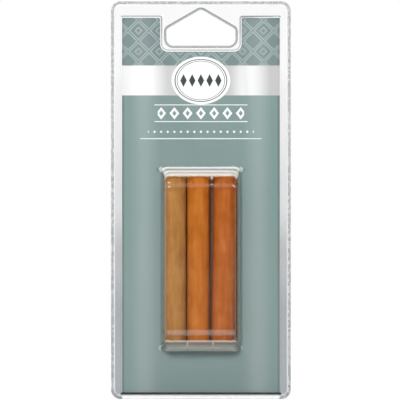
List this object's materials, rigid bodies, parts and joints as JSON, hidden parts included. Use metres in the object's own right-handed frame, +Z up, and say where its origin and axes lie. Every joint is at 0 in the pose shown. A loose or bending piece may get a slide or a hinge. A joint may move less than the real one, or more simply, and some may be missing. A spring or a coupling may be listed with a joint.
{
  "type": "hanging pack of wax repair sticks",
  "caption": "Round bare wax filler sticks side by side in a clear formed bubble pack with a card insert and a wide triangular-topped hang hole.",
  "frame": {"origin": "underside of the hang hole's apex, in the plane where the two clear sheets are sealed", "axes": "+Z up along the pack's height, +Y out of the flat back sheet, -Y out of the front with the bubble, +X to the right as seen from the front"},
  "size_m": [0.095, 0.0166, 0.21],
  "materials": {
    "formed_clear_sheet": "clear formed polyester sheet, glossy",
    "flat_clear_sheet": "clear flat polyester sheet, glossy",
    "coated_card": "coated printed card, satin",
    "tan_wax": "soft opaque wax, light brown",
    "amber_wax": "soft opaque wax, amber",
    "russet_wax": "soft opaque wax, reddish brown"
  },
  "bodies": {
    "pack": {"front_shell": "formed_clear_sheet", "back_sheet": "flat_clear_sheet", "printed_card": "coated_card"},
    "tan_stick": {"wax_stick_tan": "tan_wax"},
    "amber_stick": {"wax_stick_amber": "amber_wax"},
    "russet_stick": {"wax_stick_russet": "russet_wax"}
  },
  "joints": [
    {"name": "tan_stick_slide", "type": "slide", "parent": "pack", "child": "tan_stick", "axis": [0, 0, 1], "range_m": [0, 0.0018]},
    {"name": "amber_stick_slide", "type": "slide", "parent": "pack", "child": "amber_stick", "axis": [0, 0, 1], "range_m": [0, 0.0018]},
    {"name": "russet_stick_slide", "type": "slide", "parent": "pack", "child": "russet_stick", "axis": [0, 0, 1], "range_m": [0, 0.0018]}
  ]
}
